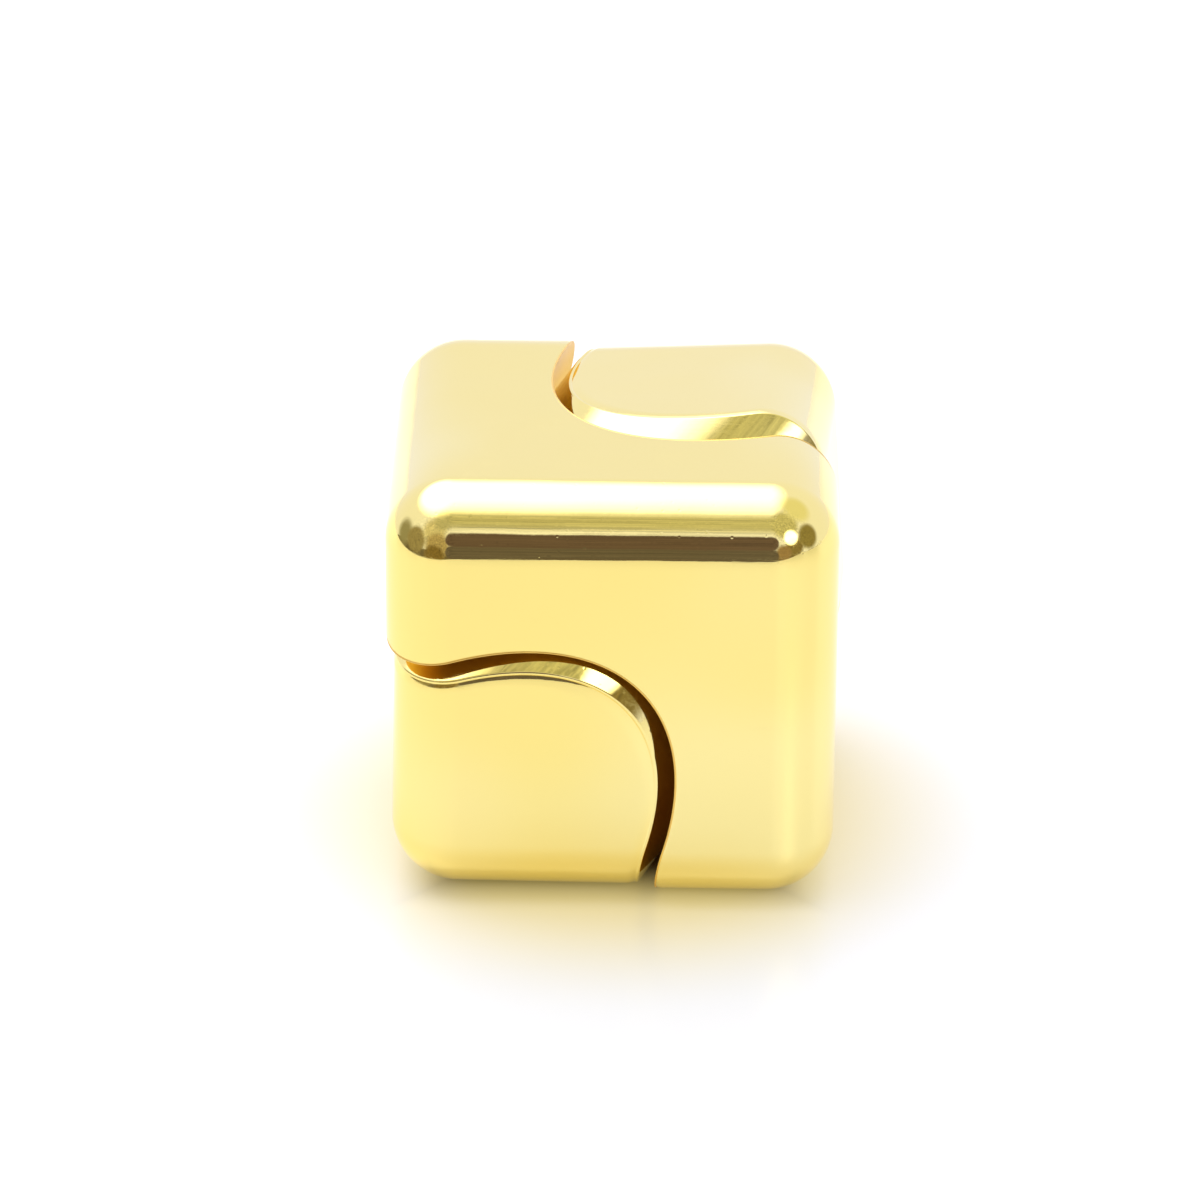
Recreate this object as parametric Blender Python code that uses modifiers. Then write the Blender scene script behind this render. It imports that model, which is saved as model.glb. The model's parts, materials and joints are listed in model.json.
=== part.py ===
"""A metal cube that spins about its own body diagonal.

Two opposite corners are caps, held between finger and thumb. They share one spindle, which
runs in a small ball bearing at the middle of the cube. The rest of the cube is one heavy
casting, bored through from corner to corner, and spins round the caps.

+Z is up, +X is right and +Y is back. The cube stands on z = 0, centred on x = y = 0. The spin
axis runs from the lower left front corner to the upper right back corner. Turned pieces are
drawn as a profile of (radius, height) points in millimetres, with height measured along the
spin axis from the middle of the cube.
"""

import math

import bmesh
import bpy
from mathutils import Matrix, Vector

MM = 0.001

# The cube and the gap round its caps, in millimetres
CUBE = 22.0
EDGE_RADIUS = 3.3
EDGE_SEGMENTS = 6
BORE_RADIUS = 10.04
SEAM_GAP = 0.91
CAP_RADIUS = BORE_RADIUS - SEAM_GAP

# How many flats stand for a full turn, on each size of round piece
BORE_STEPS = 64
RACE_STEPS = 48
RING_STEPS = 40
PIN_STEPS = 24
RACE_SEGMENTS = 4
FILLET_SEGMENTS = 3

# How each cap sits: turned on the spindle, in degrees, and set in along it, in millimetres
LOWER_CAP_TURN = 2.0
LOWER_CAP_INSET = 0.35
UPPER_CAP_TURN = -7.0
UPPER_CAP_INSET = 0.0

# The ball bearing, a quarter inch bore in inch sizes
BEARING_RADIUS = 6.35
BEARING_BORE = 3.175
BEARING_HALF_WIDTH = 2.381
BALL_COUNT = 10
BALL_RADIUS = 0.794
PITCH_RADIUS = (BEARING_RADIUS + BEARING_BORE) / 2
BALL_PLAY = 0.06
OUTER_LAND = 5.27
INNER_LAND = 4.25

# The web inside the casting that holds the bearing
WEB_TOP = 2.6
WEB_BOTTOM = -3.2
WEB_FILLET = 0.6
SEAT_PLAY = 0.05
LIP_RADIUS = 5.6
RUNNING_GAP = 0.7

# The spindle
PIN_RADIUS = 1.5
PIN_HALF_LENGTH = 6.8
PIN_PLAY = 0.03
SPIGOT_RADIUS = 3.12
SPIGOT_GAP = 0.2
COLLAR_RADIUS = 3.9
WASHER_HOLE = 3.2
WASHER_THICKNESS = 0.5
STACK_GAP = 0.02
BOSS_RADIUS = 4.6
CAP_WALL = 2.0

# Chamfers and the reach of the cutters past the cube
CHAMFER = 0.2
REACH = 20.0

GOLD = ((0.95, 0.74, 0.30), 0.12, 1.0)
BEARING_STEEL = ((0.62, 0.62, 0.63), 0.18, 1.0)
PIN_STEEL = ((0.50, 0.50, 0.51), 0.30, 1.0)
CAGE_BRASS = ((0.78, 0.60, 0.32), 0.35, 1.0)
SHIELD_STEEL = ((0.70, 0.70, 0.70), 0.25, 1.0)


def clear_scene():
    for old in list(bpy.data.objects):
        bpy.data.objects.remove(old, do_unlink=True)


def make_material(name, look):
    colour, roughness, metallic = look
    material = bpy.data.materials.new(name)
    material.use_nodes = True
    shader = material.node_tree.nodes["Principled BSDF"]
    shader.inputs["Base Color"].default_value = (*colour, 1.0)
    shader.inputs["Roughness"].default_value = roughness
    shader.inputs["Metallic"].default_value = metallic
    return material


def make_collection(name):
    collection = bpy.data.collections.new(name)
    bpy.context.scene.collection.children.link(collection)
    return collection


def add_object(name, data, collection, parent=None, material=None):
    """Links a new object, with its own material where it is a part."""
    thing = bpy.data.objects.new(name, data)
    collection.objects.link(thing)
    thing.parent = parent
    if material:
        data.materials.clear()
        data.materials.append(material)
    return thing


def hide_cutter(cutter):
    cutter.hide_render = True
    cutter.display_type = "WIRE"


def arc(centre, radius, start, end, count):
    """Points (radius, height) along an arc, with its angles in degrees from the outward direction."""
    points = []
    for i in range(count + 1):
        angle = math.radians(start + (end - start) * i / count)
        points.append((centre[0] + radius * math.cos(angle), centre[1] + radius * math.sin(angle)))
    return points


def flipped(profile):
    """The same profile for the other end of the axis, still running down its outer side."""
    return [(r, -h) for r, h in reversed(profile)]


def turned(name, profile, collection, axis, material=None, closed=True, steps=RING_STEPS):
    """A profile turned about the spin axis by a Screw. An open profile starts and ends on the axis."""
    mesh = bpy.data.meshes.new(name)
    shape = bmesh.new()
    verts = [shape.verts.new((r * MM, 0, h * MM)) for r, h in profile]
    for first, second in zip(verts, verts[1:]):
        shape.edges.new((first, second))
    if closed:
        shape.edges.new((verts[-1], verts[0]))
    shape.to_mesh(mesh)
    shape.free()
    thing = add_object(name, mesh, collection, axis, material)
    screw = thing.modifiers.new("Turn", "SCREW")
    screw.steps = screw.render_steps = steps
    screw.use_merge_vertices = True
    screw.merge_threshold = 1e-6
    screw.use_smooth_shade = False
    return thing


def corner_block(name, collection, parent, material):
    """The whole rounded cube, as the block that a casting or a cap is cut from."""
    bpy.ops.mesh.primitive_cube_add(size=CUBE * MM)
    block = bpy.context.object
    block.name = block.data.name = name
    for home in list(block.users_collection):
        home.objects.unlink(block)
    collection.objects.link(block)
    block.parent = parent
    block.data.materials.append(material)
    bevel = block.modifiers.new("Rounded edges", "BEVEL")
    bevel.width = EDGE_RADIUS * MM
    bevel.segments = EDGE_SEGMENTS
    bevel.limit_method = "NONE"
    return block


def boolean(block, operation, cutter):
    cut = block.modifiers.new(operation.title(), "BOOLEAN")
    cut.operation = operation
    cut.solver = "EXACT"
    cut.object = cutter
    hide_cutter(cutter)


def web_void():
    """All that is bored out of the casting: both corner bores, the bearing seat and its lip."""
    seat = BEARING_RADIUS + SEAT_PLAY
    fillet = BORE_RADIUS - WEB_FILLET
    return [
        (0, REACH),
        (BORE_RADIUS, REACH),
        *arc((fillet, WEB_TOP + WEB_FILLET), WEB_FILLET, 0, -90, FILLET_SEGMENTS),
        (seat + CHAMFER, WEB_TOP),
        (seat, WEB_TOP - CHAMFER),
        (seat, -BEARING_HALF_WIDTH - STACK_GAP),
        (LIP_RADIUS, -BEARING_HALF_WIDTH - STACK_GAP),
        (LIP_RADIUS, WEB_BOTTOM),
        *arc((fillet, WEB_BOTTOM - WEB_FILLET), WEB_FILLET, 90, 0, FILLET_SEGMENTS),
        (BORE_RADIUS, -REACH),
        (0, -REACH),
    ]


def pocket_roof(radius):
    """Height of a plane that stays CAP_WALL inside a face of the cube, where it leans in most."""
    return math.sqrt(3) * (CUBE / 2 - CAP_WALL) - math.sqrt(2) * radius


def cap_envelope(inner_face):
    """A cap's turned shape at the upper end of the axis: skirt, lightening pocket, boss, collar,
    spigot and blind pin hole. It runs on past the corner, which the cube itself closes."""
    pocket_rim = CAP_RADIUS - CAP_WALL
    shoulder = BEARING_HALF_WIDTH + WASHER_THICKNESS + 2 * STACK_GAP
    hole = PIN_RADIUS + PIN_PLAY
    hole_end = PIN_HALF_LENGTH + SPIGOT_GAP
    return [
        (0, REACH),
        (CAP_RADIUS, REACH),
        (CAP_RADIUS, inner_face + CHAMFER),
        (CAP_RADIUS - CHAMFER, inner_face),
        (pocket_rim, inner_face),
        (pocket_rim, pocket_roof(pocket_rim)),
        (BOSS_RADIUS, pocket_roof(BOSS_RADIUS)),
        (BOSS_RADIUS, inner_face),
        (COLLAR_RADIUS, inner_face),
        (COLLAR_RADIUS, shoulder),
        (SPIGOT_RADIUS, shoulder),
        (SPIGOT_RADIUS, SPIGOT_GAP + CHAMFER),
        (SPIGOT_RADIUS - CHAMFER, SPIGOT_GAP),
        (hole, SPIGOT_GAP),
        (hole, hole_end),
        (0, hole_end + hole / 2),
    ]


def make_cap(name, end, turn, inset, inner_face, parts, cutters, axis, material):
    """One corner cap. end is 1 at the upper corner and -1 at the lower one."""
    profile = cap_envelope(inner_face)
    if end < 0:
        profile = flipped(profile)
    envelope = turned(name + "_envelope", profile, cutters, axis, closed=False, steps=BORE_STEPS)
    block = corner_block(name, parts, axis, material)
    upright = axis.matrix_local.to_3x3().inverted().to_4x4()
    slide = Matrix.Translation((0, 0, -end * inset * MM))
    block.matrix_local = slide @ Matrix.Rotation(math.radians(turn), 4, "Z") @ upright
    boolean(block, "INTERSECT", envelope)


def make_casting(parts, cutters, axis, material):
    centre = Vector((0, 0, CUBE / 2 * MM))
    block = corner_block("outer_body", parts, None, material)
    block.location = centre
    void = turned("corner_bores", web_void(), cutters, axis, closed=False, steps=BORE_STEPS)
    boolean(block, "DIFFERENCE", void)


def race_arc(land, outward):
    """The ball groove in a ring, from its upper to its lower lip."""
    radius = BALL_RADIUS + BALL_PLAY
    lip = math.degrees(math.acos(abs(land - PITCH_RADIUS) / radius))
    if outward:
        return arc((PITCH_RADIUS, 0), radius, lip, -lip, RACE_SEGMENTS)
    return arc((PITCH_RADIUS, 0), radius, 180 - lip, 180 + lip, RACE_SEGMENTS)


def outer_ring_profile():
    """The ring's outside runs down, its inside runs up past shield steps, clip grooves and race."""
    half, step_radius, clip_radius = BEARING_HALF_WIDTH, 5.62, 5.78
    upper_half = [
        (OUTER_LAND, 1.85),
        (step_radius, 1.85),
        (step_radius, 2.05),
        (clip_radius, 2.05),
        (clip_radius, 2.30),
        (step_radius, 2.30),
        (step_radius, half),
    ]
    outside = [
        (BEARING_RADIUS - CHAMFER, half),
        (BEARING_RADIUS, half - CHAMFER),
        (BEARING_RADIUS, CHAMFER - half),
        (BEARING_RADIUS - CHAMFER, -half),
    ]
    race = list(reversed(race_arc(OUTER_LAND, outward=True)))
    return outside + flipped(upper_half) + race + upper_half


def inner_ring_profile():
    half = BEARING_HALF_WIDTH
    return [
        (INNER_LAND - CHAMFER, half),
        (INNER_LAND, half - CHAMFER),
        *race_arc(INNER_LAND, outward=False),
        (INNER_LAND, CHAMFER - half),
        (INNER_LAND - CHAMFER, -half),
        (BEARING_BORE + CHAMFER, -half),
        (BEARING_BORE, CHAMFER - half),
        (BEARING_BORE, half - CHAMFER),
        (BEARING_BORE + CHAMFER, half),
    ]


def shield_profile():
    """A pressed steel shield, dished towards the balls, with its rim in the outer ring's step."""
    inner_edge, rim, step_in, step_out, sheet = 4.42, 5.58, 5.0, 5.15, 0.17
    return [
        (inner_edge, 1.62 + sheet),
        (step_in, 1.62 + sheet),
        (step_out, 1.87 + sheet),
        (rim, 1.87 + sheet),
        (rim, 1.87),
        (step_out, 1.87),
        (step_in, 1.62),
        (inner_edge, 1.62),
    ]


def washer_profile():
    low = BEARING_HALF_WIDTH + STACK_GAP
    high = low + WASHER_THICKNESS
    return [(WASHER_HOLE, high), (COLLAR_RADIUS, high), (COLLAR_RADIUS, low), (WASHER_HOLE, low)]


def pin_profile():
    end = PIN_HALF_LENGTH
    return [
        (0, end),
        (PIN_RADIUS - CHAMFER, end),
        (PIN_RADIUS, end - CHAMFER),
        (PIN_RADIUS, CHAMFER - end),
        (PIN_RADIUS - CHAMFER, -end),
        (0, -end),
    ]


def ball_angle(index):
    return 2 * math.pi * index / BALL_COUNT


def make_cage(parts, cutters, train, material):
    """A crown cage: one rim below the balls, with a fingered pocket drilled for each ball."""
    inside, outside, bottom, top = 4.45, 5.08, -1.30, 0.35
    profile = [(inside, top), (outside, top), (outside, bottom), (inside, bottom)]
    cage = turned("bearing_cage", profile, parts, train, material)
    drills = bmesh.new()
    pocket = (BALL_RADIUS + 0.066) * MM
    for i in range(BALL_COUNT):
        place = (
            Matrix.Rotation(ball_angle(i), 4, "Z")
            @ Matrix.Translation((PITCH_RADIUS * MM, 0, 0))
            @ Matrix.Rotation(math.radians(90), 4, "Y")
        )
        bmesh.ops.create_cone(
            drills,
            cap_ends=True,
            segments=16,
            radius1=pocket,
            radius2=pocket,
            depth=2 * MM,
            matrix=place,
        )
    mesh = bpy.data.meshes.new("pocket_drills")
    drills.to_mesh(mesh)
    drills.free()
    boolean(cage, "DIFFERENCE", add_object("pocket_drills", mesh, cutters, train))


def make_balls(parts, train, material):
    mesh = bpy.data.meshes.new("bearing_ball")
    shape = bmesh.new()
    bmesh.ops.create_uvsphere(shape, u_segments=12, v_segments=8, radius=BALL_RADIUS * MM)
    shape.to_mesh(mesh)
    shape.free()
    mesh.shade_smooth()
    for i in range(BALL_COUNT):
        ball = add_object(f"bearing_ball_{i + 1:02d}", mesh, parts, train, material)
        angle = ball_angle(i)
        ball.location = (PITCH_RADIUS * MM * math.cos(angle), PITCH_RADIUS * MM * math.sin(angle), 0)


def make_clip(name, end, parts, axis, material):
    """A spring wire ring, open by one gap, that snaps over a shield."""
    wire, ring_radius, height, opening, count = 0.1, 5.655, 2.175, 24.0, 36
    curve = bpy.data.curves.new(name, "CURVE")
    curve.dimensions = "3D"
    curve.bevel_depth = wire * MM
    curve.bevel_resolution = 1
    curve.use_fill_caps = True
    spline = curve.splines.new("POLY")
    spline.points.add(count)
    for i, point in enumerate(spline.points):
        angle = math.radians(opening / 2 + (360 - opening) * i / count)
        point.co = (
            ring_radius * MM * math.cos(angle),
            ring_radius * MM * math.sin(angle),
            end * height * MM,
            1,
        )
    add_object(name, curve, parts, axis, material)


def main():
    clear_scene()
    parts = make_collection("fidget_cube")
    cutters = make_collection("cutters")

    # Local Z of this empty is the spin axis, through the middle of the cube.
    axis = add_object("spin_axis", None, parts)
    along = Vector((1, 1, 1)).normalized()
    axis.matrix_local = (
        Matrix.Translation((0, 0, CUBE / 2 * MM)) @ along.to_track_quat("Z", "Y").to_matrix().to_4x4()
    )
    train = add_object("ball_train", None, parts, axis)

    gold = make_material("gold_plate", GOLD)
    steel = make_material("bearing_steel", BEARING_STEEL)
    pin_steel = make_material("pin_steel", PIN_STEEL)
    brass = make_material("cage_brass", CAGE_BRASS)
    sheet = make_material("shield_steel", SHIELD_STEEL)

    make_casting(parts, cutters, axis, gold)
    make_cap(
        "corner_cap_lower", -1, LOWER_CAP_TURN, LOWER_CAP_INSET, RUNNING_GAP - WEB_BOTTOM,
        parts, cutters, axis, gold,
    )
    make_cap(
        "corner_cap_upper", 1, UPPER_CAP_TURN, UPPER_CAP_INSET, RUNNING_GAP + WEB_TOP,
        parts, cutters, axis, gold,
    )
    turned("axle_pin", pin_profile(), parts, axis, pin_steel, closed=False, steps=PIN_STEPS)
    turned("shim_washer_upper", washer_profile(), parts, axis, pin_steel)
    turned("shim_washer_lower", flipped(washer_profile()), parts, axis, pin_steel)

    turned("bearing_outer_ring", outer_ring_profile(), parts, axis, steel, steps=RACE_STEPS)
    turned("bearing_inner_ring", inner_ring_profile(), parts, axis, steel)
    make_cage(parts, cutters, train, brass)
    make_balls(parts, train, steel)
    turned("bearing_shield_upper", shield_profile(), parts, axis, sheet)
    turned("bearing_shield_lower", flipped(shield_profile()), parts, axis, sheet)
    make_clip("shield_clip_upper", 1, parts, axis, pin_steel)
    make_clip("shield_clip_lower", -1, parts, axis, pin_steel)


main()
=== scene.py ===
import json
from math import acos, cos, degrees, pi, radians, sin, sqrt

import bmesh
import bpy
import numpy as np
from mathutils import Matrix, Vector


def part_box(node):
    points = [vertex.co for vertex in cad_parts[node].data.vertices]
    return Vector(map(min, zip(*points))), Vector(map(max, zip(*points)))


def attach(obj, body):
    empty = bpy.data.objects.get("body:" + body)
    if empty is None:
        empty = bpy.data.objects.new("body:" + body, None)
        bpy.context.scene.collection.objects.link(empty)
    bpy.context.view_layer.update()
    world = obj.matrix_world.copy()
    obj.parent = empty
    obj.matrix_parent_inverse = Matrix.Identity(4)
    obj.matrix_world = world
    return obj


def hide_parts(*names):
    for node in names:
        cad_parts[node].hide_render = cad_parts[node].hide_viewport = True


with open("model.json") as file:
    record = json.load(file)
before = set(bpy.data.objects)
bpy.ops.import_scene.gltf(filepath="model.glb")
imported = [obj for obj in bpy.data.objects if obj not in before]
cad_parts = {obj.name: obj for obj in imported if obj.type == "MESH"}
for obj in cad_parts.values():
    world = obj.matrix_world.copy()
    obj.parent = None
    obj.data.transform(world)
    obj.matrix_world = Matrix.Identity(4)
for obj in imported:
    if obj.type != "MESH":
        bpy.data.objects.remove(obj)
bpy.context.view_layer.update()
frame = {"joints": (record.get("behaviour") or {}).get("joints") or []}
mm = 0.001

# The spin axis and the cube's size come from the frame. Local Z of axisPlace is the spin axis.
spinJoint = next(j for j in frame["joints"] if j["name"] == "spindle_spin")
cubeCentre = Vector(spinJoint["pos_m"])
spinAxis = Vector(spinJoint["axis"]).normalized()
axisPlace = Matrix.Translation(cubeCentre) @ spinAxis.to_track_quat("Z", "Y").to_matrix().to_4x4()
bodyLow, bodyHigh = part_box("outer_body")
halfCube = (bodyHigh.x - bodyLow.x) / 2

cube = dict(
    edgeRadius=3.3 * mm, boreRadius=10.04 * mm, capRadius=9.13 * mm, boreEdge=0.06 * mm, capEdge=0.15 * mm,
    walk=60, smoothAngle=32, onSkin=4e-7, onWall=3e-7, alike=0.8,
)
capPose = dict(lowerTurn=2.0, lowerInset=0.35 * mm, upperTurn=-7.0, upperInset=0.0)

print("frame loaded, half cube", round(halfCube / mm, 3), "mm")


# The rounded cube, as a distance and a normal, with its middle at the origin.
def cubeDistance(points):
    q = np.abs(points) - (halfCube - cube["edgeRadius"])
    outside = np.linalg.norm(np.maximum(q, 0), axis=1)
    inside = np.minimum(q.max(axis=1), 0)
    return outside + inside - cube["edgeRadius"]


def cubeNormal(points):
    q = np.maximum(np.abs(points) - (halfCube - cube["edgeRadius"]), 0)
    return np.sign(points) * q / np.maximum(np.linalg.norm(q, axis=1), 1e-12)[:, None]


def dropOntoCube(starts, directions):
    # each point walks along its direction until it meets the cube's skin
    points = starts.copy()
    for _ in range(cube["walk"]):
        points += directions * cubeDistance(points)[:, None]
    return points


def asArray(matrix):
    return np.array(matrix, float)


def moved(points, matrix):
    m = asArray(matrix)
    return points @ m[:3, :3].T + m[:3, 3]


# Turned shapes start as a profile of (radius, height) in mm, which is spun about Z.
def arc(centre, radius, start, end, count):
    steps = [radians(start + (end - start) * i / count) for i in range(count + 1)]
    return [(centre[0] + radius * cos(a), centre[1] + radius * sin(a)) for a in steps]


def flipped(profile):
    return [(r, -h) for r, h in reversed(profile)]


def rows(start, end, count):
    # evenly spaced points from start to end, leaving out the end
    return [
        (start[0] + (end[0] - start[0]) * i / count, start[1] + (end[1] - start[1]) * i / count)
        for i in range(count)
    ]


def spinProfile(profile, steps, closed=True):
    bm = bmesh.new()
    verts = [bm.verts.new((r * mm, 0, h * mm)) for r, h in profile]
    edges = [bm.edges.new(pair) for pair in zip(verts, verts[1:])]
    if closed:
        edges.append(bm.edges.new((verts[-1], verts[0])))
    bmesh.ops.spin(
        bm, geom=verts + edges, cent=(0, 0, 0), axis=(0, 0, 1), angle=2 * pi, steps=steps, use_merge=True
    )
    bmesh.ops.remove_doubles(bm, verts=bm.verts, dist=1e-7)
    bmesh.ops.recalc_face_normals(bm, faces=bm.faces)
    return bm


def markSharp(bm):
    for face in bm.faces:
        face.smooth = True
    for edge in bm.edges:
        edge.smooth = edge.calc_face_angle(0) < radians(cube["smoothAngle"])


def finishPiece(name, bm, body, cadNode, materials, place=axisPlace):
    bm.transform(place)
    # the transform leaves the old normals behind, and turning the faces outwards starts from them
    bm.normal_update()
    bmesh.ops.recalc_face_normals(bm, faces=bm.faces)
    markSharp(bm)
    mesh = bpy.data.meshes.new(name)
    bm.to_mesh(mesh)
    bm.free()
    piece = bpy.data.objects.new(name, mesh)
    bpy.context.scene.collection.objects.link(piece)
    for material in materials:
        mesh.materials.append(material)
    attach(piece, body)
    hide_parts(cadNode)
    return piece


def useSecondMaterial(bm, chosen):
    for face in bm.faces:
        middle = face.calc_center_median()
        if chosen(middle.xy.length, middle.z):
            face.material_index = 1


def setTrueNormals(piece, place, onSkin, wallRadius, wallSign):
    # flats stay dead flat and fillets roll evenly, whatever way the skin is meshed
    mesh = piece.data
    points = np.empty(len(mesh.vertices) * 3, np.float32)
    mesh.vertices.foreach_get("co", points)
    points = points.reshape(-1, 3).astype(float)
    inCube = moved(points, place.inverted())
    inAxis = moved(points, axisPlace.inverted())
    radius = np.hypot(inAxis[:, 0], inAxis[:, 1])
    skin = (np.abs(cubeDistance(inCube)) < cube["onSkin"]) & onSkin(radius, inAxis[:, 2])
    wall = np.abs(radius - wallRadius) < cube["onWall"]
    outward = np.stack([inAxis[:, 0], inAxis[:, 1], 0 * radius], axis=1) * wallSign / radius.max()
    outward /= np.maximum(np.linalg.norm(outward, axis=1), 1e-12)[:, None]
    skinNormals = cubeNormal(inCube) @ asArray(place)[:3, :3].T
    wallNormals = outward @ asArray(axisPlace)[:3, :3].T

    corners = np.empty(len(mesh.loops) * 3, np.float32)
    mesh.corner_normals.foreach_get("vector", corners)
    corners = corners.reshape(-1, 3)
    owners = np.empty(len(mesh.loops), np.int32)
    mesh.loops.foreach_get("vertex_index", owners)
    # a corner takes the true normal only where its own face already points much the same way
    for mask, normals in ((wall, wallNormals), (skin, skinNormals)):
        near = (corners * normals[owners]).sum(axis=1) > cube["alike"]
        use = mask[owners] & near
        corners[use] = normals[owners][use]
    mesh.normals_split_custom_set(corners)


bodySize = dict(
    steps=480, skinRows=96, webTop=2.6, webBottom=-3.2, webFillet=0.6, seatRadius=6.4, seatChamfer=0.2,
    seatFloor=-2.401, lipRadius=5.6, marker=40.0, filletSteps=8, edgeSteps=4, rimAbove=4.4, rimStep=0.3,
)


def rimHeights(azimuth, radius, place, end):
    # where a line along the spin axis, at that radius, meets the cube's skin
    farOff = np.full_like(azimuth, end * 3 * halfCube)
    starts = np.stack([radius * np.cos(azimuth), radius * np.sin(azimuth), farOff], axis=1)
    toCubeFrame = place.inverted() @ axisPlace
    inCube = moved(starts, toCubeFrame)
    direction = asArray(toCubeFrame)[:3, :3] @ np.array([0, 0, -end])
    hits = dropOntoCube(inCube, np.tile(direction, (len(starts), 1)))
    return moved(hits, toCubeFrame.inverted())[:, 2]


def vertexArray(verts):
    return np.array([v.co for v in verts], float)


def putBack(verts, points):
    for vert, point in zip(verts, points):
        vert.co = point


def makeOuterBody(materials):
    s = bodySize
    bore = cube["boreRadius"] / mm
    fillet = bore - s["webFillet"]
    skin = [(s["marker"] + 0 * i, -1 + 2 * i / s["skinRows"]) for i in range(s["skinRows"] + 1)]
    inside = [
        *arc((fillet, s["webTop"] + s["webFillet"]), s["webFillet"], 0, -90, s["filletSteps"]),
        (s["seatRadius"] + s["seatChamfer"], s["webTop"]),
        (s["seatRadius"], s["webTop"] - s["seatChamfer"]),
        (s["seatRadius"], s["seatFloor"]),
        (s["lipRadius"], s["seatFloor"]),
        (s["lipRadius"], s["webBottom"]),
        *arc((fillet, s["webBottom"] - s["webFillet"]), s["webFillet"], 90, 0, s["filletSteps"]),
    ]
    bm = spinProfile(skin + inside, s["steps"])
    verts = [v for v in bm.verts if v.co.xy.length > s["marker"] / 2 * mm]
    flat = vertexArray(verts)
    azimuth = np.arctan2(flat[:, 1], flat[:, 0])
    share = (flat[:, 2] / mm + 1) / 2
    place = Matrix.Translation(cubeCentre)
    low = rimHeights(azimuth, cube["boreRadius"], place, -1)
    high = rimHeights(azimuth, cube["boreRadius"], place, 1)
    tiltLow = np.arctan2(low, cube["boreRadius"])
    tiltHigh = np.arctan2(high, cube["boreRadius"])
    tilt = tiltLow + (tiltHigh - tiltLow) * share
    level = np.cos(tilt)
    direction = np.stack([np.cos(azimuth) * level, np.sin(azimuth) * level, np.sin(tilt)], axis=1)
    turnToCube = asArray(axisPlace)[:3, :3]
    outward = direction @ turnToCube.T
    hits = dropOntoCube(outward * 3 * halfCube, -outward)
    putBack(verts, hits @ turnToCube)
    rims = [
        e for e in bm.edges
        if all(abs(v.co.xy.length - cube["boreRadius"]) < 1e-6 for v in e.verts)
        and all(abs(v.co.z) > s["rimAbove"] * mm for v in e.verts)
        and abs(e.verts[0].co.z - e.verts[1].co.z) < s["rimStep"] * mm
    ]
    bmesh.ops.bevel(
        bm, geom=rims, offset=cube["boreEdge"], offset_type="OFFSET", segments=s["edgeSteps"],
        profile=0.5, affect="EDGES", material=-1,
    )
    useSecondMaterial(bm, lambda radius, height: radius < cube["boreRadius"] - 0.1e-6)
    piece = finishPiece("outerBody", bm, "shell", "outer_body", materials)
    setTrueNormals(
        piece, place, lambda radius, height: radius > cube["boreRadius"] - 1e-6, cube["boreRadius"], -1
    )


capSize = dict(
    steps=360, crownRows=60, wall=2.0, chamfer=0.2, bossRadius=4.6, collarRadius=3.9, shoulder=2.921,
    spigotRadius=3.12, spigotEnd=0.2, holeRadius=1.53, holeEnd=7.0, marker=20.0,
    rimBand=0.35, lead=0.1, holeChamfer=0.15, edgeSteps=6, skinAbove=4.0, crispEnd=1,
)


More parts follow.
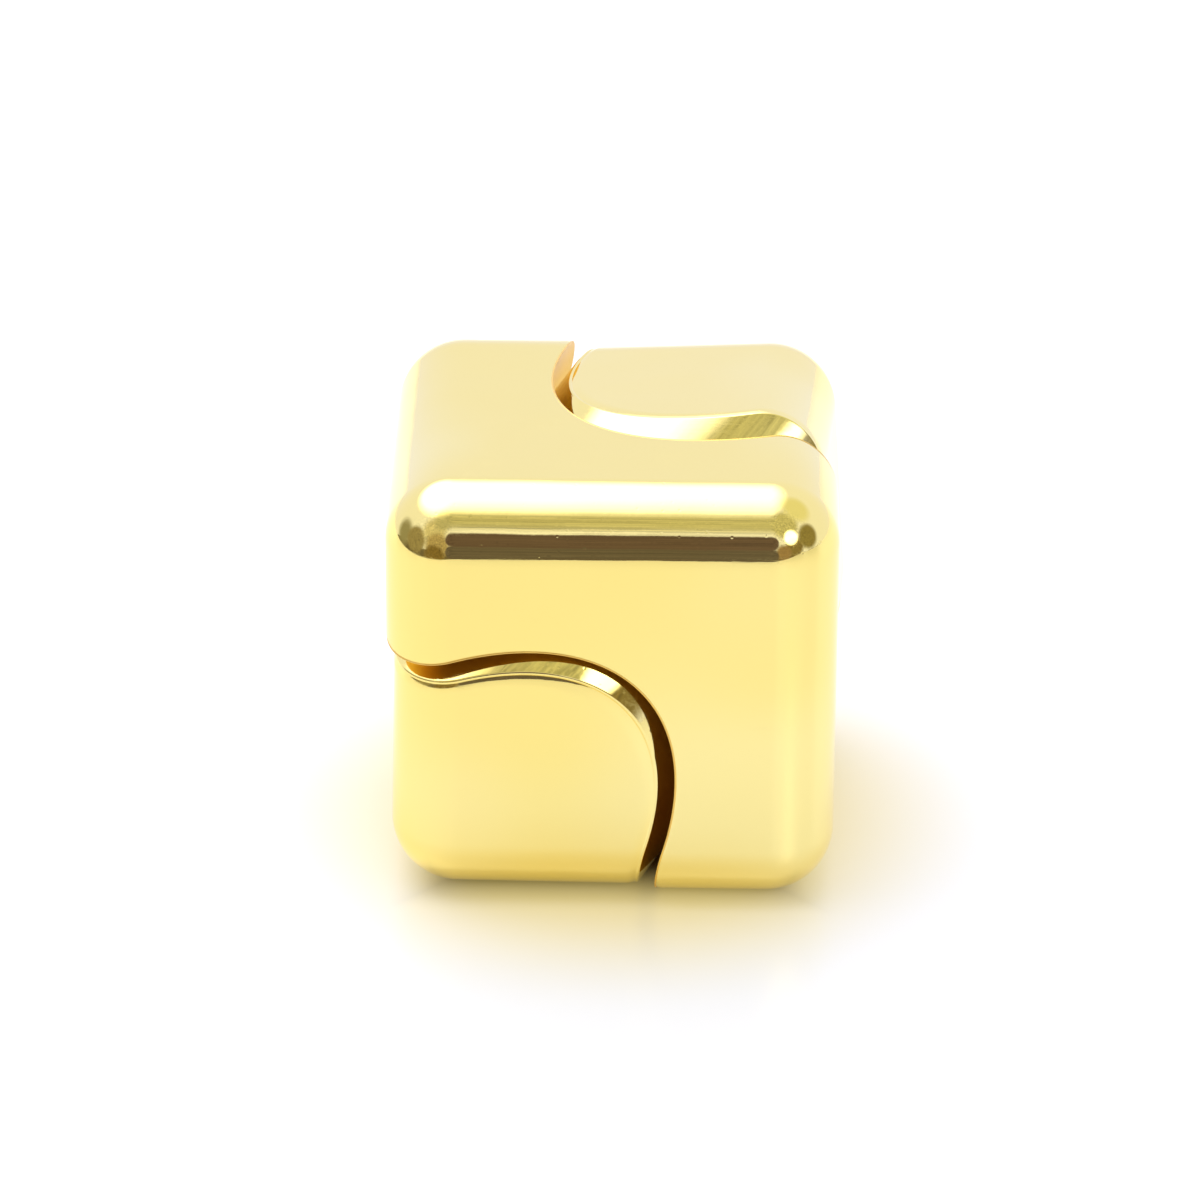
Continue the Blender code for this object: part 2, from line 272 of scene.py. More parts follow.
def makeCap(name, cadNode, end, turn, inset, innerFace, materials):
    s = capSize
    capRadius = cube["capRadius"] / mm
    rim = capRadius - s["wall"]
    bandFrom = capRadius - s["rimBand"]

    def roof(radius):
        # the hollow follows the three faces at the wall's depth
        return sqrt(3) * (halfCube / mm - s["wall"]) - sqrt(2) * radius

    crown = rows((0, s["marker"]), (bandFrom, s["marker"]), s["crownRows"])
    crown += [(bandFrom, s["marker"]), (capRadius, s["marker"])]
    inside = [
        (capRadius, innerFace + s["chamfer"]),
        (capRadius - s["chamfer"], innerFace),
        (rim, innerFace),
        (rim, roof(rim)),
        (s["bossRadius"], roof(s["bossRadius"])),
        (s["bossRadius"], innerFace + s["chamfer"]),
        (s["bossRadius"] - s["chamfer"], innerFace),
        (s["collarRadius"] + s["lead"], innerFace),
        (s["collarRadius"], innerFace - s["lead"]),
        (s["collarRadius"], s["shoulder"] + s["lead"]),
        (s["collarRadius"] - s["lead"], s["shoulder"]),
        (s["spigotRadius"], s["shoulder"]),
        (s["spigotRadius"], s["spigotEnd"] + s["chamfer"]),
        (s["spigotRadius"] - s["chamfer"], s["spigotEnd"]),
        (s["holeRadius"] + s["holeChamfer"], s["spigotEnd"]),
        (s["holeRadius"], s["spigotEnd"] + s["holeChamfer"]),
        (s["holeRadius"], s["holeEnd"]),
        (0, s["holeEnd"] + s["holeRadius"] / 2),
    ]
    bm = spinProfile([(r, end * h) for r, h in crown + inside], s["steps"], closed=False)
    verts = [v for v in bm.verts if abs(v.co.z) > (s["marker"] - 0.1) * mm]
    flat = vertexArray(verts)
    # The cap is a corner of the same cube, turned on the spindle and set in along it.
    place = axisPlace @ Matrix.Translation((0, 0, -end * inset)) @ Matrix.Rotation(radians(turn), 4, "Z")
    place = place @ axisPlace.to_3x3().inverted().to_4x4()
    azimuth = np.arctan2(flat[:, 1], flat[:, 0])
    heights = rimHeights(azimuth, np.hypot(flat[:, 0], flat[:, 1]), place, end)
    putBack(verts, np.stack([flat[:, 0], flat[:, 1], heights], axis=1))
    crownVerts = set(verts)
    rims = [
        e for e in bm.edges
        if all(v in crownVerts and abs(v.co.xy.length - cube["capRadius"]) < 1e-6 for v in e.verts)
    ]
    bmesh.ops.bevel(
        bm, geom=rims, offset=cube["capEdge"], offset_type="OFFSET", segments=s["edgeSteps"],
        profile=0.5, affect="EDGES", material=-1,
    )
    # the polish stops where the wall turns in under the cap
    useSecondMaterial(bm, lambda radius, height: end * height < (innerFace + s["chamfer"]) * mm)
    piece = finishPiece(name, bm, "spindle", cadNode, materials)
    if end == s["crispEnd"]:
        # the lower cap goes without: its rim then rolls wider, and reads as a thin dark line
        setTrueNormals(
            piece, place, lambda radius, height: end * height > s["skinAbove"] * mm, cube["capRadius"], 1
        )


def newMaterial(name, baseColor, roughness, metallic=1.0):
    material = bpy.data.materials.new(name)
    material.use_nodes = True
    shader = material.node_tree.nodes["Principled BSDF"]
    shader.inputs["Base Color"].default_value = (*baseColor, 1)
    shader.inputs["Roughness"].default_value = roughness
    shader.inputs["Metallic"].default_value = metallic
    return material, shader


def newGroup(name, inputs, outputs):
    tree = bpy.data.node_groups.new(name, "ShaderNodeTree")
    for way, sockets in (("INPUT", inputs), ("OUTPUT", outputs)):
        for socket, kind in sockets.items():
            tree.interface.new_socket(socket, in_out=way, socket_type="NodeSocket" + kind)
    return tree, tree.nodes.new("NodeGroupInput").outputs, tree.nodes.new("NodeGroupOutput").inputs


def addNode(tree, kind, links=None, settings=None, values=None):
    # one shader node: its links by socket, its settings, and its fixed values
    new = tree.nodes.new("ShaderNode" + kind)
    for key, value in (settings or {}).items():
        setattr(new, key, value)
    for socket, value in (values or {}).items():
        new.inputs[socket].default_value = value
    for socket, source in (links or {}).items():
        tree.links.new(source, new.inputs[socket])
    return new.outputs


def addMath(tree, operation, first, second=None, third=None):
    links, values = {}, {}
    for i, item in enumerate((first, second, third)):
        if item is not None:
            (values if isinstance(item, (int, float)) else links)[i] = item
    return addNode(tree, "Math", links, {"operation": operation}, values)[0]


def addVectorMath(tree, operation, first, second=None):
    values = {} if second is None else {1: second}
    return addNode(tree, "VectorMath", {0: first}, {"operation": operation}, values)


def addRamp(tree, source, start, stop, low=0.0, high=1.0):
    # eases from low to high as the source goes from start to stop
    values = {"From Min": start, "From Max": stop, "To Min": low, "To Max": high}
    return addNode(tree, "MapRange", {"Value": source}, {"interpolation_type": "SMOOTHSTEP"}, values)[0]


def addNoise(tree, place, scale, detail, **more):
    values = {"Scale": scale, "Detail": detail, **more}
    return addNode(tree, "TexNoise", {"Vector": place}, None, values)["Fac"]


def addMix(tree, share, first, second):
    return addNode(tree, "Mix", {0: share}, {"data_type": "RGBA"}, {6: (*first, 1), 7: (*second, 1)})[2]


def useGroup(tree, group, links=None, values=None):
    return addNode(tree, "Group", links, {"node_tree": group}, values)


def spinPlaceGroup():
    # how far a point is from the spin axis, and how far along it
    tree, given, result = newGroup(
        "spinPlace", {"Position": "Vector"}, {"Radius": "Float", "Height": "Float"}
    )
    fromMiddle = addVectorMath(tree, "SUBTRACT", given["Position"], cubeCentre)[0]
    along = addVectorMath(tree, "DOT_PRODUCT", fromMiddle, spinAxis)["Value"]
    across = addVectorMath(tree, "CROSS_PRODUCT", fromMiddle, spinAxis)[0]
    radius = addVectorMath(tree, "LENGTH", across)["Value"]
    tree.links.new(radius, result["Radius"])
    tree.links.new(along, result["Height"])
    return tree


hairlines = dict(
    turns=((0.3, 0.9, 0.2), (1.3, 0.2, 1.9), (2.2, 1.4, 0.6)), narrow=22, width=0.012, gain=80.0,
    detail=2.0, roughness=0.4, bend=0.3, patch=260.0, length=90.0, sparse=0.56,
)


def scratchesGroup():
    # sparse hairlines in three directions, as bright thin lines on black
    h = hairlines
    tree, given, result = newGroup(
        "hairScratches", {"Position": "Vector", "Length": "Float", "Sparse": "Float"}, {"Mask": "Float"}
    )
    total = None
    for turn in h["turns"]:
        stretched = addNode(
            tree, "Mapping", {"Vector": given["Position"]}, None,
            {"Rotation": turn, "Scale": (1, h["narrow"], h["narrow"])},
        )[0]
        lines = addNode(
            tree, "TexNoise", {"Vector": stretched, "Scale": given["Length"]}, None,
            {"Detail": h["detail"], "Roughness": h["roughness"], "Distortion": h["bend"]},
        )["Fac"]
        offCrest = addMath(tree, "ABSOLUTE", addMath(tree, "SUBTRACT", lines, 0.5))
        crest = addMath(tree, "MAXIMUM", addMath(tree, "SUBTRACT", h["width"], offCrest), 0.0)
        crest = addMath(tree, "MULTIPLY", crest, h["gain"])
        patchy = addNoise(tree, given["Position"], h["patch"], 1.0)
        crest = addMath(tree, "MULTIPLY", crest, addMath(tree, "GREATER_THAN", patchy, given["Sparse"]))
        total = crest if total is None else addMath(tree, "MAXIMUM", total, crest)
    tree.links.new(total, result["Mask"])
    return tree


smear = dict(
    cloud=150.0, cloudDetail=3.0, swirl=1.2, grain=1400.0, grainDetail=4.0, grainRoughness=0.7,
    clean=0.46, full=0.68, grainFloor=0.35,
)


def handlingGroup():
    # faint finger smears: broad soft cloud broken by finer cloud
    m = smear
    tree, given, result = newGroup("fingerSmears", {"Position": "Vector"}, {"Mask": "Float"})
    broad = addNoise(tree, given["Position"], m["cloud"], m["cloudDetail"], Distortion=m["swirl"])
    fine = addNoise(tree, given["Position"], m["grain"], m["grainDetail"], Roughness=m["grainRoughness"])
    shaped = addRamp(tree, broad, m["clean"], m["full"])
    tree.links.new(
        addMath(tree, "MULTIPLY", shaped, addMath(tree, "ADD", fine, m["grainFloor"])), result["Mask"]
    )
    return tree


def latheMarksGroup():
    # concentric turning marks, by distance from the spin axis and along it
    tree, given, result = newGroup(
        "latheMarks", {"Position": "Vector", "Pitch": "Float"}, {"Height": "Float"}
    )
    place = useGroup(tree, spinPlace, {"Position": given["Position"]})
    both = addMath(tree, "ADD", place["Radius"], place["Height"])
    rings = addMath(tree, "DIVIDE", both, given["Pitch"])
    # the noise is read along one line, so each ring keeps its own depth all the way round
    line = addNode(tree, "CombineXYZ", {"X": rings})[0]
    marks = addNoise(tree, line, 1.0, 3.0, Roughness=0.75)
    tree.links.new(marks, result["Height"])
    return tree


spinPlace = spinPlaceGroup()
hairScratches = scratchesGroup()
fingerSmears = handlingGroup()
latheMarks = latheMarksGroup()

goldLook = dict(
    deep=(0.965, 0.785, 0.25), pale=(0.975, 0.83, 0.34), toneScale=62.0, toneFrom=0.38, toneTo=0.64,
    roughness=0.045, smeared=0.105, scratched=0.16, scratchDepth=2.5e-7,
    wave=330.0, waveDepth=2.4e-5, peel=2600.0, peelDepth=1.3e-6,
    pit=2400.0, pitSize=0.24, pitRarity=0.72, pitDepth=3e-6,
)


def goldPlateMaterial():
    # bright plating on a polished casting: slow waves and a fine peel in the skin, hairlines, faint smears
    s = goldLook
    material, shader = newMaterial("goldPlate", s["deep"], s["roughness"])
    tree = material.node_tree
    where = addNode(tree, "TexCoord")["Object"]
    tone = addRamp(tree, addNoise(tree, where, s["toneScale"], 1.0), s["toneFrom"], s["toneTo"])
    colour = addMix(tree, tone, s["deep"], s["pale"])
    spread = {"Length": hairlines["length"], "Sparse": hairlines["sparse"]}
    scratches = useGroup(tree, hairScratches, {"Position": where}, spread)["Mask"]
    smears = useGroup(tree, fingerSmears, {"Position": where})["Mask"]
    rough = addNode(
        tree, "MapRange", {"Value": smears}, None, {"To Min": s["roughness"], "To Max": s["smeared"]}
    )[0]
    rough = addMath(tree, "MULTIPLY_ADD", scratches, s["scratched"] - s["roughness"], rough)
    wave = addNoise(tree, where, s["wave"], 0.0)
    peel = addNoise(tree, where, s["peel"], 1.0)
    # a few shallow pits show through the plating
    cells = addNode(tree, "TexVoronoi", {"Vector": where}, None, {"Scale": s["pit"]})
    cellDraw = addNode(tree, "SeparateXYZ", {0: cells["Color"]})[0]
    kept = addMath(tree, "GREATER_THAN", cellDraw, s["pitRarity"])
    pits = addMath(tree, "MULTIPLY", addRamp(tree, cells["Distance"], s["pitSize"], 0.0), kept)
    normal = None
    layers = (
        (wave, s["waveDepth"]), (peel, s["peelDepth"]), (pits, -s["pitDepth"]),
        (scratches, -s["scratchDepth"]),
    )
    for height, depth in layers:
        links = {"Height": height} if normal is None else {"Height": height, "Normal": normal}
        normal = addNode(tree, "Bump", links, None, {"Strength": 1.0, "Distance": depth})[0]
    tree.links.new(colour, shader.inputs["Base Color"])
    tree.links.new(rough, shader.inputs["Roughness"])
    tree.links.new(normal, shader.inputs["Normal"])
    return material


# painted shade: the base colours are a deeper, oranger gold than the plate, standing for light bounced many
# times between gold walls
boreLook = dict(
    colour=(0.93, 0.63, 0.15), dull=(0.74, 0.46, 0.11), cloud=420.0, cloudDetail=4.0,
    roughness=0.26, rougher=0.42, pitch=0.00016, depth=3e-6,
    paintedGlow=(0.016, 0.006, 0.001), paintedGlowFrom=0.0026, paintedGlowTo=0.0062, paintedGlowLeast=0.35,
)


def boreMaterial():
    # thin plating on turned, unpolished walls, their gold painted deeper and oranger as painted shade for
    # light bounced between gold walls. The faint painted glow is emission standing in for light that rattles
    # down the narrow gap.
    s = boreLook
    material, shader = newMaterial("boreGold", s["colour"], s["roughness"])
    tree = material.node_tree
    where = addNode(tree, "TexCoord")["Object"]
    marks = useGroup(tree, latheMarks, {"Position": where}, {"Pitch": s["pitch"]})["Height"]
    cloud = addNoise(tree, where, s["cloud"], s["cloudDetail"])
    colour = addMix(tree, cloud, s["colour"], s["dull"])
    rough = addNode(
        tree, "MapRange", {"Value": marks}, None, {"To Min": s["roughness"], "To Max": s["rougher"]}
    )[0]
    normal = addNode(tree, "Bump", {"Height": marks}, None, {"Strength": 1.0, "Distance": s["depth"]})[0]
    height = addMath(tree, "ABSOLUTE", useGroup(tree, spinPlace, {"Position": where})["Height"])
    # painted glow: faintest deep in the gap near the web, full from a little over 6 mm along the axis out to
    # the rim
    near = addRamp(tree, height, s["paintedGlowFrom"], s["paintedGlowTo"], s["paintedGlowLeast"], 1.0)
    paintedGlow = addMix(tree, near, (0, 0, 0), s["paintedGlow"])
    tree.links.new(colour, shader.inputs["Base Color"])
    tree.links.new(rough, shader.inputs["Roughness"])
    tree.links.new(normal, shader.inputs["Normal"])
    tree.links.new(paintedGlow, shader.inputs["Emission Color"])
    shader.inputs["Emission Strength"].default_value = 1.0
    return material


# clean colour, stained colour, roughness at best and worst, width of a turning mark and its depth
steelLooks = dict(
    bearingSteel=((0.62, 0.62, 0.63), (0.50, 0.50, 0.52), 0.10, 0.22, 0.00007, 6e-7),
    pinSteel=((0.50, 0.50, 0.51), (0.36, 0.36, 0.38), 0.22, 0.40, 0.00012, 1.5e-6),
    shieldSteel=((0.70, 0.70, 0.70), (0.60, 0.60, 0.61), 0.16, 0.32, 0.00010, 8e-7),
    cageBrass=((0.78, 0.60, 0.32), (0.56, 0.40, 0.18), 0.26, 0.44, 0.00014, 2e-6),
)
stainLook = dict(scale=700.0, detail=5.0, swirl=0.6, clean=0.45, full=0.75, dulling=0.5)


def turnedMetalMaterial(name):
    clean, stained, best, worst, pitch, depth = steelLooks[name]
    m = stainLook
    material, shader = newMaterial(name, clean, best)
    tree = material.node_tree
    where = addNode(tree, "TexCoord")["Object"]
    marks = useGroup(tree, latheMarks, {"Position": where}, {"Pitch": pitch})["Height"]
    cloud = addNoise(tree, where, m["scale"], m["detail"], Distortion=m["swirl"])
    stain = addRamp(tree, cloud, m["clean"], m["full"])
    colour = addMix(tree, stain, clean, stained)
    dull = addMath(tree, "MULTIPLY_ADD", stain, m["dulling"], marks)
    rough = addNode(tree, "MapRange", {"Value": dull}, None, {"To Min": best, "To Max": worst})[0]
    normal = addNode(tree, "Bump", {"Height": marks}, None, {"Strength": 1.0, "Distance": depth})[0]
    tree.links.new(colour, shader.inputs["Base Color"])
    tree.links.new(rough, shader.inputs["Roughness"])
    tree.links.new(normal, shader.inputs["Normal"])
    return material


# the second gold, for bores and hollows, carries painted shade in its colour and a painted glow in its
# emission
gold = [goldPlateMaterial(), boreMaterial()]
bearingSteel = [turnedMetalMaterial("bearingSteel")]
pinSteel = [turnedMetalMaterial("pinSteel")]
shieldSteel = [turnedMetalMaterial("shieldSteel")]
cageBrass = [turnedMetalMaterial("cageBrass")]
print("materials made")

makeOuterBody(gold)
print("outer body made")
makeCap("lowerCap", "corner_cap_lower", -1, capPose["lowerTurn"], capPose["lowerInset"], 3.9, gold)
makeCap("upperCap", "corner_cap_upper", 1, capPose["upperTurn"], capPose["upperInset"], 3.3, gold)
print("caps made")


# The ball bearing, all in mm about the spin axis.
bearing = dict(
    outside=6.35, bore=3.175, halfWidth=2.381, ball=0.794, balls=10, pitch=4.7625, raceGap=0.06,
    outerLand=5.27, innerLand=4.25, round=0.2, steps=240, raceSteps=20, roundSteps=5,
    ballSides=40, ballRings=24,
    landTop=1.80, landChamfer=0.05, stepRadius=5.62, grooveFrom=2.05, grooveRadius=5.78, grooveTo=2.30,
    lipRadius=5.64, mouthRadius=5.68,
)


def race(land, outward):
    radius = bearing["ball"] + bearing["raceGap"]
    lip = degrees(acos(abs(land - bearing["pitch"]) / radius))
    start, end = (lip, -lip) if outward else (180 - lip, 180 + lip)
    return arc((bearing["pitch"], 0), radius, start, end, bearing["raceSteps"])


def makeOuterRing():
    b = bearing
    half, rounded = b["halfWidth"], b["round"]
    step = b["landTop"] + b["landChamfer"]
    # up from the land, out along the shield's step, round the wire's groove and out at the mouth
    upperHalf = [
        (b["outerLand"], b["landTop"]), (b["outerLand"] + b["landChamfer"], step), (b["stepRadius"], step),
        (b["stepRadius"], b["grooveFrom"]), (b["grooveRadius"], b["grooveFrom"]),
        (b["grooveRadius"], b["grooveTo"]), (b["lipRadius"], b["grooveTo"]), (b["mouthRadius"], half),
    ]
    outside = arc((b["outside"] - rounded, half - rounded), rounded, 90, 0, b["roundSteps"])
    profile = outside + flipped(outside) + flipped(upperHalf) + race(b["outerLand"], True)[::-1] + upperHalf
    bm = spinProfile(profile, b["steps"])
    finishPiece("outerRing", bm, "shell", "bearing_outer_ring", bearingSteel)


def makeInnerRing():
    b = bearing
    half, rounded = b["halfWidth"], b["round"]
    outside = arc((b["innerLand"] - rounded, half - rounded), rounded, 90, 0, b["roundSteps"])
    inside = arc((b["bore"] + rounded, half - rounded), rounded, 180, 90, b["roundSteps"])
    profile = outside + race(b["innerLand"], False) + flipped(outside) + flipped(inside) + inside
    bm = spinProfile(profile, b["steps"])
    finishPiece("innerRing", bm, "spindle", "bearing_inner_ring", bearingSteel)


def ballPlace(index):
    angle = 2 * pi * index / bearing["balls"]
    return Matrix.Rotation(angle, 4, "Z") @ Matrix.Translation((bearing["pitch"] * mm, 0, 0))


def makeBalls():
    for i in range(bearing["balls"]):
        bm = bmesh.new()
        bmesh.ops.create_uvsphere(
            bm, u_segments=bearing["ballSides"], v_segments=bearing["ballRings"],
            radius=bearing["ball"] * mm, matrix=ballPlace(i),
        )
        number = f"{i + 1:02d}"
        cadNode = "bearing_ball_" + number
        finishPiece("ball" + number, bm, "ball_train", cadNode, bearingSteel)


cage = dict(
    inside=4.45, outside=5.08, bottom=-1.30, top=0.35, round=0.08, pocket=0.86, drill=2.0,
    steps=240, drillSides=64,
)


def makeCage():
    c = cage
    corners = (
        (c["outside"], c["top"], -1, -1, 90), (c["outside"], c["bottom"], -1, 1, 0),
        (c["inside"], c["bottom"], 1, 1, -90), (c["inside"], c["top"], 1, -1, -180),
    )
    profile = []
    for r, h, inR, inH, start in corners:
        profile += arc((r + inR * c["round"], h + inH * c["round"]), c["round"], start, start - 90, 3)
    bm = spinProfile(profile, c["steps"])
    mesh = bpy.data.meshes.new("cageBlank")
    bm.to_mesh(mesh)
    bm.free()
    blank = bpy.data.objects.new("cageBlank", mesh)
    drills = bmesh.new()
    for i in range(bearing["balls"]):
        place = ballPlace(i) @ Matrix.Rotation(pi / 2, 4, "Y")
        bmesh.ops.create_cone(
            drills, cap_ends=True, segments=c["drillSides"], radius1=c["pocket"] * mm,
            radius2=c["pocket"] * mm, depth=c["drill"] * mm, matrix=place,
        )
    drillMesh = bpy.data.meshes.new("pocketDrills")
    drills.to_mesh(drillMesh)
    drills.free()
    drill = bpy.data.objects.new("pocketDrills", drillMesh)
    for thing in (blank, drill):
        bpy.context.scene.collection.objects.link(thing)
    cut = blank.modifiers.new("pockets", "BOOLEAN")
    cut.operation = "DIFFERENCE"
    cut.object = drill
    bpy.context.view_layer.update()
    finished = bmesh.new()
    finished.from_object(blank, bpy.context.evaluated_depsgraph_get())
    for thing in (blank, drill):
        bpy.data.objects.remove(thing)
    bmesh.ops.remove_doubles(finished, verts=finished.verts, dist=2e-7)
    finishPiece("ballCage", finished, "ball_train", "bearing_cage", cageBrass)


# one pressed sheet with its rim down in the ring's step, dished towards the balls
shield = dict(
    inner=4.42, rim=5.58, dishFrom=4.98, dishTo=5.17, low=1.62, high=1.87, sheet=0.17, lip=0.05, steps=200,
)


def makeShield(name, cadNode, end):
    d = shield
    lower = [
        (d["inner"], d["low"] + d["lip"]), (d["inner"] + d["lip"], d["low"]), (d["dishFrom"], d["low"]),
        (d["dishTo"], d["high"]), (d["rim"], d["high"]),
    ]
    upper = [(r, h + d["sheet"]) for r, h in lower]
    profile = upper + lower[::-1]
    bm = spinProfile([(r, end * h) for r, h in profile], d["steps"])
    finishPiece(name, bm, "shell", cadNode, shieldSteel)


clip = dict(wire=0.1, radius=5.655, height=2.175, opening=24.0, wireSides=16, steps=180)


def makeClip(name, cadNode, end):
    c = clip
    bm = bmesh.new()
    place = Matrix.Translation((c["radius"] * mm, 0, end * c["height"] * mm))
    place = place @ Matrix.Rotation(pi / 2, 4, "X")
    ring = bmesh.ops.create_circle(
        bm, cap_ends=False, radius=c["wire"] * mm, segments=c["wireSides"], matrix=place
    )
    edges = list({e for v in ring["verts"] for e in v.link_edges})
    bmesh.ops.rotate(
        bm, cent=(0, 0, 0), matrix=Matrix.Rotation(radians(c["opening"] / 2), 3, "Z"), verts=bm.verts
    )
    bmesh.ops.spin(
        bm, geom=ring["verts"] + edges, cent=(0, 0, 0), axis=(0, 0, 1),
        angle=radians(360 - c["opening"]), steps=c["steps"], use_merge=False,
    )
    bmesh.ops.holes_fill(bm, edges=[e for e in bm.edges if e.is_boundary], sides=0)
    finishPiece(name, bm, "shell", cadNode, pinSteel)


washer = dict(hole=3.2, outside=3.9, low=2.401, high=2.901, round=0.06, steps=160)


def makeWasher(name, cadNode, end):
    w = washer
    r = w["round"]
    profile = [
        (w["outside"] - r, w["high"]), (w["outside"], w["high"] - r), (w["outside"], w["low"] + r),
        (w["outside"] - r, w["low"]), (w["hole"] + r, w["low"]), (w["hole"], w["low"] + r),
        (w["hole"], w["high"] - r), (w["hole"] + r, w["high"]),
    ]
    bm = spinProfile([(x, end * h) for x, h in profile], w["steps"])
    finishPiece(name, bm, "spindle", cadNode, pinSteel)


pin = dict(radius=1.5, half=6.8, round=0.2, steps=96)


def makePin():
    p = pin
    top = [(0, p["half"])] + arc((p["radius"] - p["round"], p["half"] - p["round"]), p["round"], 90, 0, 5)
    bm = spinProfile(top + flipped(top), p["steps"], closed=False)
    finishPiece("axlePin", bm, "spindle", "axle_pin", pinSteel)


makeOuterRing()
makeInnerRing()
makeBalls()
makeCage()
for endName, end in (("upper", 1), ("lower", -1)):
    makeShield(endName + "Shield", "bearing_shield_" + endName, end)
    makeClip(endName + "Clip", "shield_clip_" + endName, end)
    makeWasher(endName + "Washer", "shim_washer_" + endName, end)
makePin()
print("bearing and spindle made")


view = dict(
    azimuth=0.745, elevation=26.54, roll=0.34, distance=0.3297, lens=198.14, sensor=36.0,
    aimLeft=0.000704, aimUp=0.000549, nearest=0.01, farthest=50.0,
)


def makeCamera():
    az, el = radians(view["azimuth"]), radians(view["elevation"])
    back = Vector((sin(az) * cos(el), -cos(az) * cos(el), sin(el)))
    right = Vector((0, 0, 1)).cross(back).normalized()
    up = back.cross(right)
    place = cubeCentre + back * view["distance"]
    target = cubeCentre - right * view["aimLeft"] + up * view["aimUp"]
    aim = (place - target).normalized()
    data = bpy.data.cameras.new("camera")
    data.lens = view["lens"]
    data.sensor_width = view["sensor"]
    data.clip_start = view["nearest"]
    data.clip_end = view["farthest"]
    camera = bpy.data.objects.new("camera", data)
    bpy.context.scene.collection.objects.link(camera)
    side = Vector((0, 0, 1)).cross(aim).normalized()
    top = aim.cross(side)
    turn = Matrix((side, top, aim)).transposed() @ Matrix.Rotation(radians(view["roll"]), 3, "Z")
    camera.matrix_world = Matrix.Translation(place) @ turn.to_4x4()
    bpy.context.scene.camera = camera


floorSize = dict(side=3.0, back=3.0, front=0.095, turn=-40.0, gap=1e-5)
floorLook = dict(
    colour=(0.36, 0.36, 0.36), roughness=0.3, glow=0.53, under=0.0060, clear=0.0112,
    paintedGoldBounce=(1.0, 0.81, 0.28), near=0.0095, far=0.0215,
)


def floorMaterial():
    # pale acrylic with a little glow of its own; round the foot of the cube the glow is tinted warm as a
    # painted reflection of gold light, and under the cube it is taken away as painted shade
    s = floorLook
    material, shader = newMaterial("paleFloor", s["colour"], s["roughness"], 0.0)
    tree = material.node_tree
    where = addNode(tree, "TexCoord")["Object"]
    distance = addVectorMath(tree, "LENGTH", where)["Value"]
    # painted reflection: the glow turns warm gold near the foot of the cube, as gold light bounced onto the
    # table
    paintedBounceTint = addMix(tree, addRamp(tree, distance, s["near"], s["far"]), s["paintedGoldBounce"], (1, 1, 1))
    # painted shade: the glow fades to nothing under the cube, between the under and clear distances
    axes = addNode(tree, "SeparateXYZ", {0: where})
    square = addMath(tree, "MAXIMUM", addMath(tree, "ABSOLUTE", axes[0]), addMath(tree, "ABSOLUTE", axes[1]))
    level = addRamp(tree, square, s["under"], s["clear"])
    glow = addNode(tree, "VectorMath", {0: paintedBounceTint, "Scale": level}, {"operation": "SCALE"})[0]
    tree.links.new(glow, shader.inputs["Emission Color"])
    shader.inputs["Emission Strength"].default_value = s["glow"]
    return material


def makeFloor():
    # the table runs on behind and to the sides, and ends a little in front, as a shooting table does
    s = floorSize
    bm = bmesh.new()
    bmesh.ops.create_grid(bm, x_segments=1, y_segments=1, size=1)
    bmesh.ops.scale(bm, vec=(s["side"], (s["back"] + s["front"]) / 2, 1), verts=bm.verts)
    bmesh.ops.translate(bm, vec=(0, (s["back"] - s["front"]) / 2, -s["gap"]), verts=bm.verts)
    bmesh.ops.rotate(bm, cent=(0, 0, 0), matrix=Matrix.Rotation(radians(s["turn"]), 3, "Z"), verts=bm.verts)
    mesh = bpy.data.meshes.new("floor")
    bm.to_mesh(mesh)
    bm.free()
    floor = bpy.data.objects.new("floor", mesh)
    bpy.context.scene.collection.objects.link(floor)
    mesh.materials.append(floorMaterial())


# The soft panel hangs level overhead; the card is aimed at the cube.
softbox = dict(
    place=(-0.121, 0.114, 0.30), size=(0.50, 0.62), power=3.15, full=0.19, faded=0.50, aimed=False
)
sideCard = dict(
    place=(0.067, -0.088, 0.073), size=(0.056, 0.056), power=0.032, full=0.32, faded=0.5, aimed=True
)


def makeSoftLight(name, look):
    # a diffused panel, brightest in its middle and gone by its edge
    data = bpy.data.lights.new(name, "AREA")
    data.shape = "RECTANGLE"
    data.size, data.size_y = look["size"]
    data.energy = look["power"]
    data.use_nodes = True
    tree = data.node_tree
    onPanel = addNode(tree, "NewGeometry")["Parametric"]
    fromMiddle = addVectorMath(tree, "SUBTRACT", onPanel, (0.5, 0.5, 0))[0]
    flat = addVectorMath(tree, "MULTIPLY", fromMiddle, (1, 1, 0))[0]
    distance = addVectorMath(tree, "LENGTH", flat)["Value"]
    bright = addRamp(tree, distance, look["faded"], look["full"])
    tree.links.new(bright, tree.nodes["Emission"].inputs["Strength"])
    lamp = bpy.data.objects.new(name, data)
    bpy.context.scene.collection.objects.link(lamp)
    lamp.location = look["place"]
    if look["aimed"]:
        lamp.rotation_euler = (cubeCentre - lamp.location).to_track_quat("-Z", "Y").to_euler()
    lamp.visible_camera = False


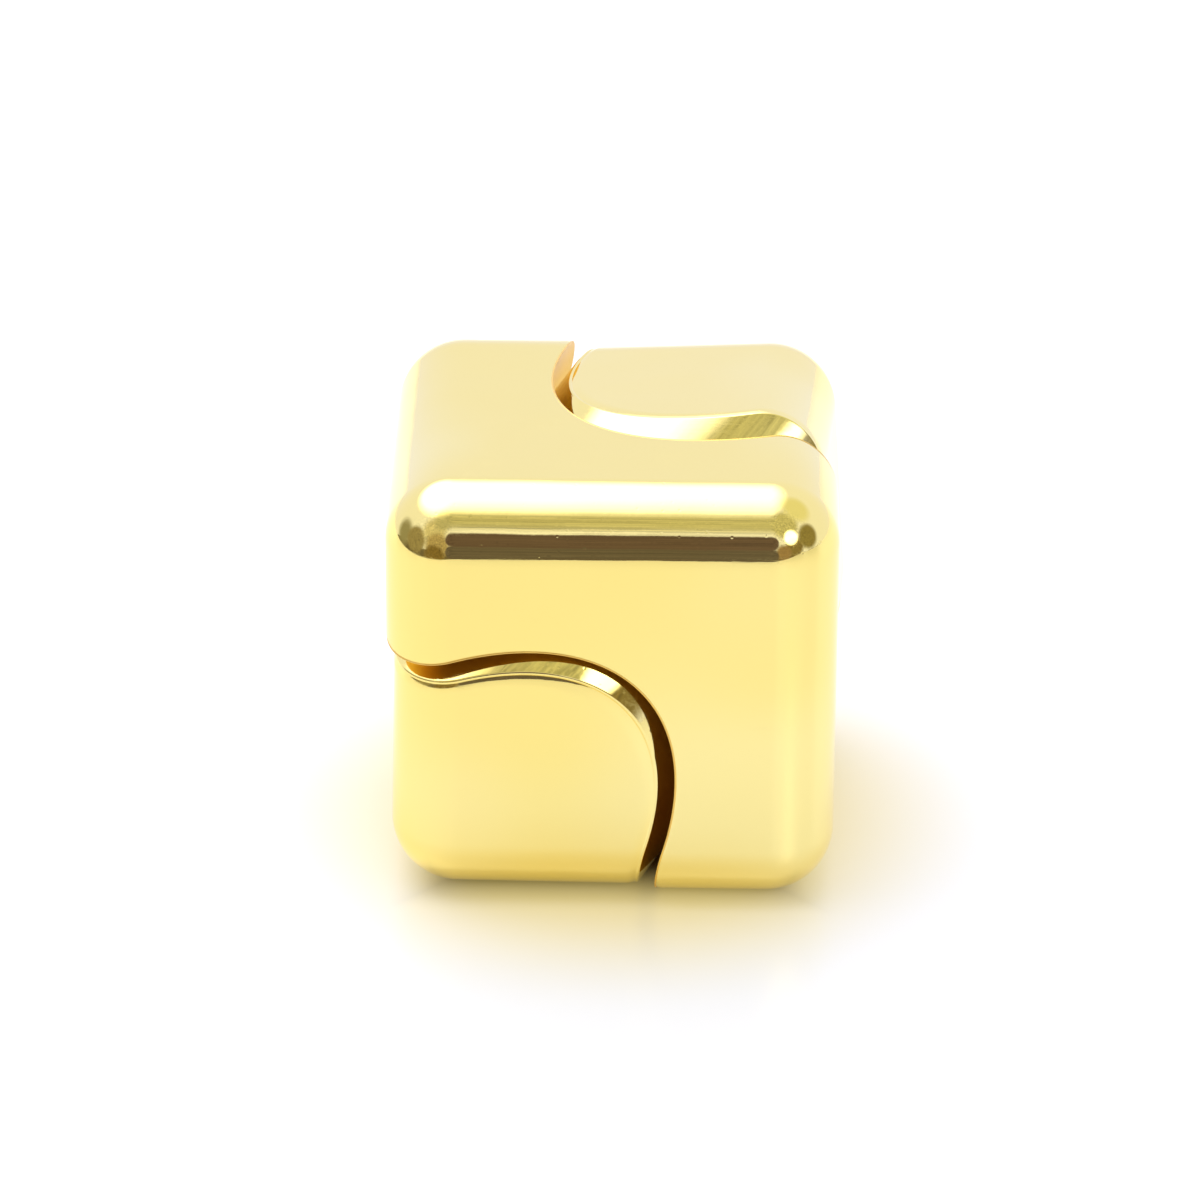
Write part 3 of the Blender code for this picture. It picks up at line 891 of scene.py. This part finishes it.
# The room round the table: pale walls, then soft round patches of shade, the last of them in front.
# Each patch: azimuth (0 in front, 90 at the right), height, full and faded radius in degrees, colour.
room = dict(
    wall=(0.96, 1.0, 1.36), belowTable=(0.17, 0.145, 0.12), drop=0.3,
    streaks=2.4, streakScale=24.0, streakDetail=6.0, streakRoughness=0.7, streakFrom=0.1, streakTo=-0.5,
    patches=[
        (-92, 7, 8, 19, (0.32, 0.31, 0.26)), (-66, 9, 14, 21, (0.32, 0.28, 0.20)),
        (-36, 32, 12, 26, (0.68, 0.64, 0.55)), (-26, 9, 14, 26, (0.45, 0.37, 0.26)),
        (-30, -7, 12, 20, (0.22, 0.16, 0.07)), (-22, 54, 10, 22, (0.50, 0.49, 0.40)),
        (32, 51, 16, 28, (0.58, 0.57, 0.42)), (97, 56, 12, 26, (0.84, 0.84, 0.68)),
        (40, 12, 11, 20, (0.25, 0.20, 0.10)), (70, 19, 13, 21, (0.28, 0.24, 0.12)),
        (20, 6, 9, 16, (0.34, 0.24, 0.16)), (0, 1, 10, 13, (0.14, 0.12, 0.13)),
        (0, 22, 10, 13, (0.14, 0.10, 0.11)),
    ],
)


def towards(azimuth, height):
    az, el = radians(azimuth), radians(height)
    return (sin(az) * cos(el), -cos(az) * cos(el), sin(el))


def softPatchGroup():
    # lays one round patch over what is around it
    tree, given, result = newGroup(
        "softPatch",
        {
            "Direction": "Vector", "Middle": "Vector", "Faded": "Float", "Full": "Float", "Around": "Color",
            "Patch": "Color",
        },
        {"Color": "Color"},
    )
    dot = addNode(
        tree, "VectorMath", {0: given["Direction"], 1: given["Middle"]}, {"operation": "DOT_PRODUCT"}
    )["Value"]
    share = addNode(
        tree, "MapRange", {"Value": dot, "From Min": given["Faded"], "From Max": given["Full"]},
        {"interpolation_type": "SMOOTHSTEP"},
    )[0]
    mixed = addNode(tree, "Mix", {0: share, 6: given["Around"], 7: given["Patch"]}, {"data_type": "RGBA"})[2]
    tree.links.new(mixed, result["Color"])
    return tree


def makeWorld():
    world = bpy.data.worlds.new("studio")
    bpy.context.scene.world = world
    world.use_nodes = True
    tree = world.node_tree
    where = addNode(tree, "TexCoord")["Generated"]
    axes = addNode(tree, "SeparateXYZ", {0: where})
    # the dark drop below the table is only in front: at the back the white table runs to the horizon
    backward = addMath(tree, "MAXIMUM", axes["Y"], 0.0)
    above = addMath(tree, "MULTIPLY_ADD", backward, room["drop"], axes["Z"])
    colour = addMix(tree, addMath(tree, "GREATER_THAN", above, 0.0), room["belowTable"], room["wall"])
    patchGroup = softPatchGroup()
    for azimuth, height, full, faded, patchColour in room["patches"]:
        colour = useGroup(
            tree, patchGroup, {"Direction": where, "Around": colour},
            {
                "Middle": towards(azimuth, height), "Full": cos(radians(full)),
                "Faded": cos(radians(faded)), "Patch": (*patchColour, 1),
            },
        )["Color"]
    # fine streaks break up the dark side of the room
    noise = addNoise(
        tree, where, room["streakScale"], room["streakDetail"], Roughness=room["streakRoughness"]
    )
    front = addRamp(tree, axes["Y"], room["streakFrom"], room["streakTo"], 0.0, room["streaks"])
    streak = addMath(tree, "MULTIPLY_ADD", addMath(tree, "SUBTRACT", noise, 0.5), front, 1.0)
    colour = addNode(tree, "VectorMath", {0: colour, "Scale": streak}, {"operation": "SCALE"})[0]
    # the camera itself sees plain white behind the cube
    seen = addNode(tree, "LightPath")["Is Camera Ray"]
    white = addNode(tree, "Mix", {0: seen, 6: colour}, {"data_type": "RGBA"}, {7: (1, 1, 1, 1)})[2]
    tree.links.new(white, tree.nodes["Background"].inputs["Color"])


makeCamera()
makeFloor()
makeWorld()
makeSoftLight("overheadSoftbox", softbox)
makeSoftLight("sideCard", sideCard)
bpy.context.scene.view_settings.view_transform = "Standard"
print("stage set")
